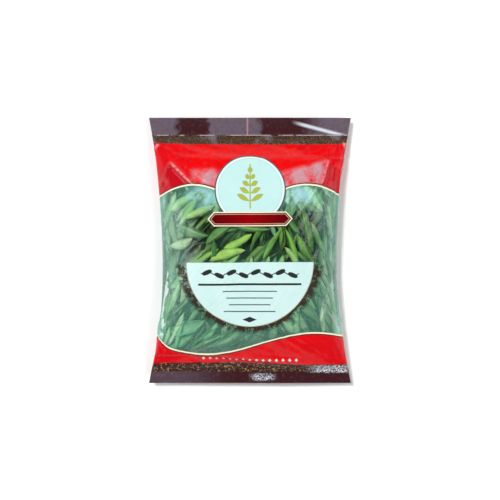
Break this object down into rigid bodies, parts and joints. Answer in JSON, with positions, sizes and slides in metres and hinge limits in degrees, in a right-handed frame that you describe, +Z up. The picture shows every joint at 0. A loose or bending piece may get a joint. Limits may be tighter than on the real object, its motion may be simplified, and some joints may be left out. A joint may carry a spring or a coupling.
{
  "type": "bag of dried curry leaves",
  "caption": "Heat-sealed clear film pillow bag, printed at both ends, filled with loose dried curry leaves and lying on its back.",
  "frame": {"origin": "on the resting surface, under the middle of the bag", "axes": "+X across the bag to its right seen from the front, +Y from the bottom seal to the top seal, +Z up through the bag's front"},
  "size_m": [0.16, 0.21, 0.0431],
  "materials": {
    "printed_film": "glossy clear film with red and dark brown print",
    "dried_leaf": "dry, faintly satin leaf"
  },
  "bodies": {
    "root": {"film_bag": "printed_film", "dried_leaves": "dried_leaf"}
  },
  "joints": []
}
